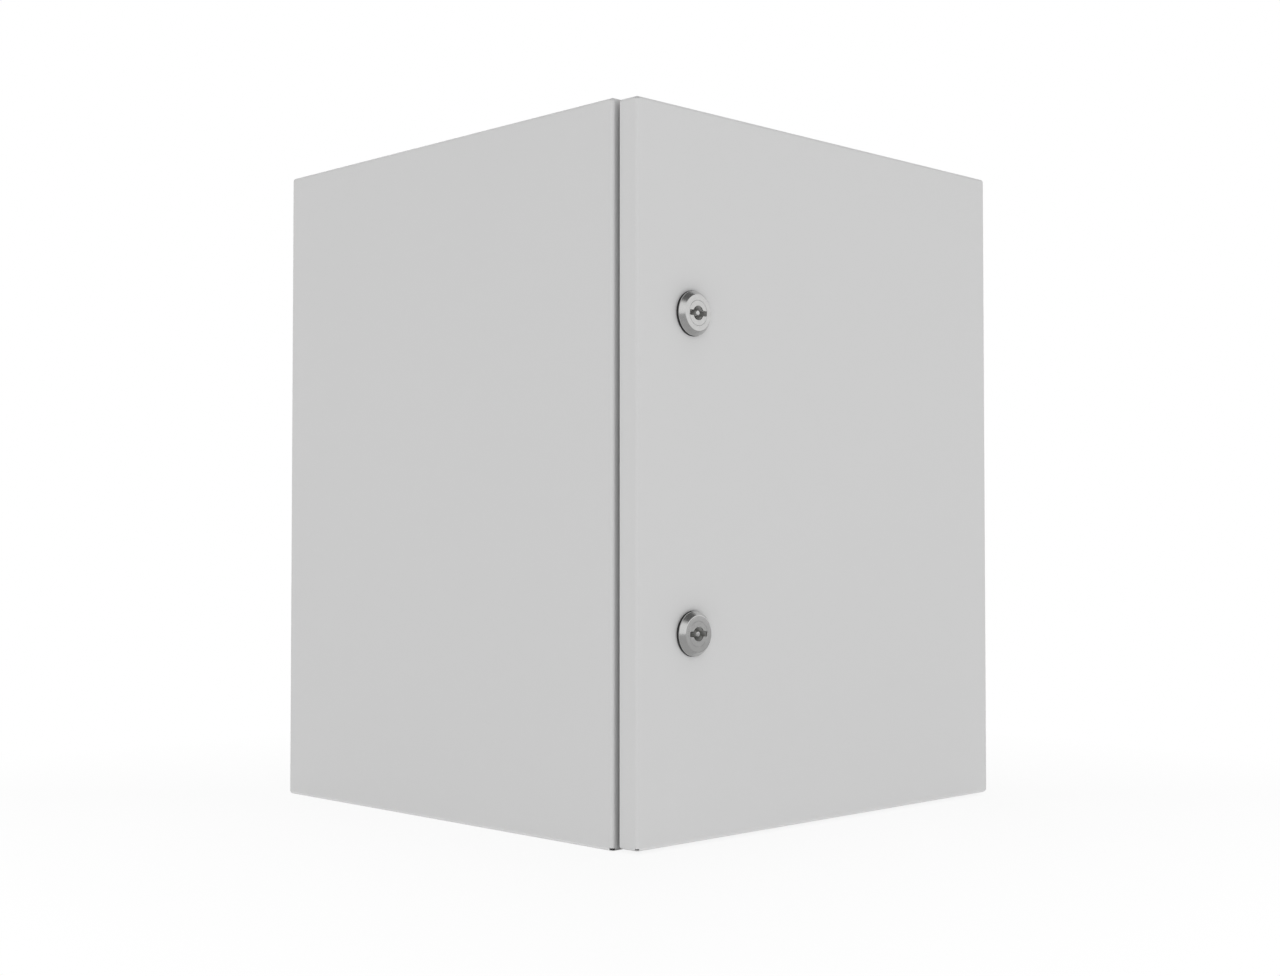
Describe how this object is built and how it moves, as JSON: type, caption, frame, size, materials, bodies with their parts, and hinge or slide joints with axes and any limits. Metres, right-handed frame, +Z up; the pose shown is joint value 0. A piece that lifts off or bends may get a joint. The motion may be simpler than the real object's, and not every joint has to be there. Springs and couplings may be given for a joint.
{
  "type": "switchboard cabinet",
  "caption": "Wall-mounting sheet-steel switchboard cabinet with a side-hinged door, quarter-turn key locks, a sealed door gutter and a mounting plate inside.",
  "frame": {"origin": "centre of the outer box's bottom, on the surface that the cabinet stands on", "axes": "+Z up, the door faces -Y, the hinges are on the +X side and the locks on the -X side, the wall is at +Y"},
  "size_m": [0.4, 0.406, 0.5],
  "materials": {
    "powder_coat": "light grey textured powder coat on folded sheet steel",
    "galvanised_sheet": "hot-dip galvanised sheet with a faint spangle",
    "zinc_plated_steel": "bright zinc plate",
    "nickel_plated_zinc": "satin nickel plate on die-cast zinc",
    "copper_plated_steel": "copper-plated weld stud",
    "black_rubber": "matt black moulded rubber",
    "foam_seal": "dark foamed-in-place polyurethane",
    "black_plastic": "matt black moulded plastic"
  },
  "bodies": {
    "root": {"body_shell": "powder_coat", "mounting_plate": "galvanised_sheet", "gland_plate": "galvanised_sheet", "gland_gasket": "foam_seal", "earth_stud_body": "copper_plated_steel", "earth_nut_body": "zinc_plated_steel", "mounting_stud_1": "zinc_plated_steel", "mounting_stud_2": "zinc_plated_steel", "mounting_stud_3": "zinc_plated_steel", "mounting_stud_4": "zinc_plated_steel", "mounting_nut_1": "zinc_plated_steel", "mounting_nut_2": "zinc_plated_steel", "mounting_nut_3": "zinc_plated_steel", "mounting_nut_4": "zinc_plated_steel", "gland_stud_1": "zinc_plated_steel", "gland_stud_2": "zinc_plated_steel", "gland_stud_3": "zinc_plated_steel", "gland_stud_4": "zinc_plated_steel", "gland_nut_1": "zinc_plated_steel", "gland_nut_2": "zinc_plated_steel", "gland_nut_3": "zinc_plated_steel", "gland_nut_4": "zinc_plated_steel", "wall_hole_plug_1": "black_plastic", "wall_hole_plug_2": "black_plastic", "wall_hole_plug_3": "black_plastic", "wall_hole_plug_4": "black_plastic", "hinge_bracket_lower": "zinc_plated_steel", "hinge_pin_lower": "zinc_plated_steel", "hinge_screw_lower_1": "zinc_plated_steel", "hinge_screw_lower_2": "zinc_plated_steel", "hinge_bracket_upper": "zinc_plated_steel", "hinge_pin_upper": "zinc_plated_steel", "hinge_screw_upper_1": "zinc_plated_steel", "hinge_screw_upper_2": "zinc_plated_steel"},
    "door": {"door_panel": "powder_coat", "door_gasket": "foam_seal", "door_rail_left": "powder_coat", "door_rail_right": "powder_coat", "earth_stud_door": "copper_plated_steel", "earth_nut_door": "zinc_plated_steel", "hinge_leaf_lower": "zinc_plated_steel", "lock_housing_lower": "nickel_plated_zinc", "lock_seal_lower": "black_rubber", "lock_nut_lower": "zinc_plated_steel", "hinge_leaf_upper": "zinc_plated_steel", "lock_housing_upper": "nickel_plated_zinc", "lock_seal_upper": "black_rubber", "lock_nut_upper": "zinc_plated_steel"},
    "lock_lower": {"lock_barrel_lower": "nickel_plated_zinc", "lock_cam_lower": "zinc_plated_steel", "lock_cam_screw_lower": "zinc_plated_steel"},
    "lock_upper": {"lock_barrel_upper": "nickel_plated_zinc", "lock_cam_upper": "zinc_plated_steel", "lock_cam_screw_upper": "zinc_plated_steel"}
  },
  "joints": [
    {"name": "door_hinge", "type": "hinge", "parent": "root", "child": "door", "pos_m": [0.191, -0.1878, 0.25], "axis": [0, 0, 1], "range_deg": [0, 120]},
    {"name": "lock_turn_lower", "type": "hinge", "parent": "door", "child": "lock_lower", "pos_m": [-0.146, -0.203, 0.142], "axis": [0, 1, 0], "range_deg": [0, 90]},
    {"name": "lock_turn_upper", "type": "hinge", "parent": "door", "child": "lock_upper", "pos_m": [-0.146, -0.203, 0.358], "axis": [0, 1, 0], "range_deg": [0, 90]}
  ]
}
